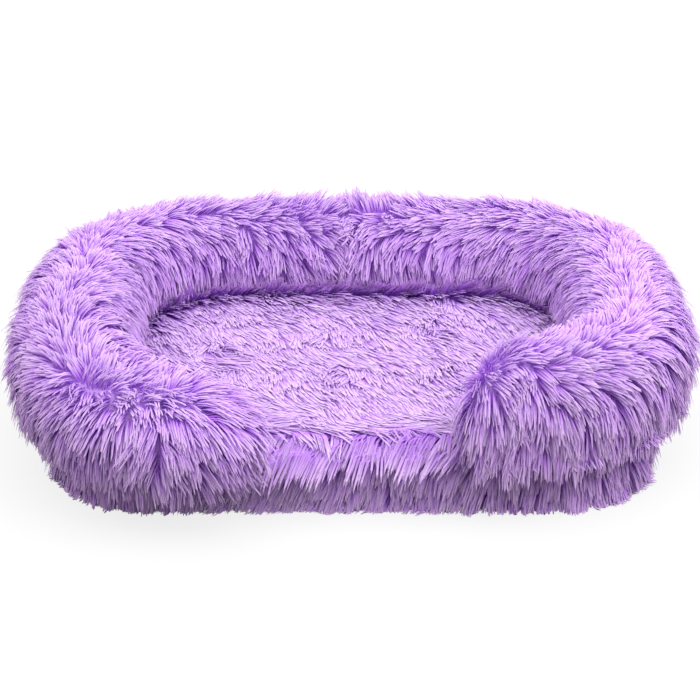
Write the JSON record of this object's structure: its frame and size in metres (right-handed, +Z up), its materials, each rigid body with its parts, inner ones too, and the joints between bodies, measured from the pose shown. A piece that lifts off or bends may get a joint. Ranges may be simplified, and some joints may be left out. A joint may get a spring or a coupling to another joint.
{
  "type": "pet bed",
  "caption": "Long-pile plush pet bed: a flat zipped mattress with a stuffed bolster round its back and sides, and a gap between the arms at the front.",
  "frame": {"origin": "middle of the mattress's underside, on the floor", "axes": "+X to the right as seen from the open front, +Y to the back, +Z up"},
  "size_m": [0.776, 0.6005, 0.209],
  "materials": {
    "plush": "long-pile faux fur",
    "grip_fabric": "woven oxford with rubber dots",
    "foam": "open-cell foam",
    "fibre": "polyester fibre",
    "zip_tape": "woven tape",
    "zip_coil": "nylon coil",
    "zip_metal": "nickel-plated zinc"
  },
  "bodies": {
    "bed": {"mattress_top_panel": "plush", "mattress_front_band": "plush", "mattress_left_band": "plush", "mattress_right_band": "plush", "mattress_back_band_upper": "plush", "mattress_back_band_lower": "plush", "bolster_back_cover": "plush", "bolster_left_cover": "plush", "bolster_right_cover": "plush", "bolster_left_tip": "plush", "bolster_right_tip": "plush", "mattress_bottom_panel": "grip_fabric", "mattress_foam_core": "foam", "mattress_wadding": "fibre", "bolster_back_fill": "fibre", "bolster_left_fill": "fibre", "bolster_right_fill": "fibre", "zip_tape_upper": "zip_tape", "zip_tape_lower": "zip_tape", "zip_coil_upper": "zip_coil", "zip_coil_lower": "zip_coil", "zip_top_stop_upper": "zip_metal", "zip_top_stop_lower": "zip_metal", "zip_bottom_stop": "zip_metal"},
    "zip_slider": {"zip_slider": "zip_metal"},
    "zip_pull": {"zip_pull": "zip_metal"}
  },
  "joints": [
    {"name": "zip_slide", "type": "slide", "parent": "bed", "child": "zip_slider", "axis": [-1, 0, 0], "range_m": [0, 0.355], "deforming": ["zip_coil_upper", "zip_coil_lower"]},
    {"name": "zip_pull_swing", "type": "hinge", "parent": "zip_slider", "child": "zip_pull", "pos_m": [0.175, 0.2227, 0.035], "axis": [0, 0, -1], "range_deg": [0, 175]}
  ]
}
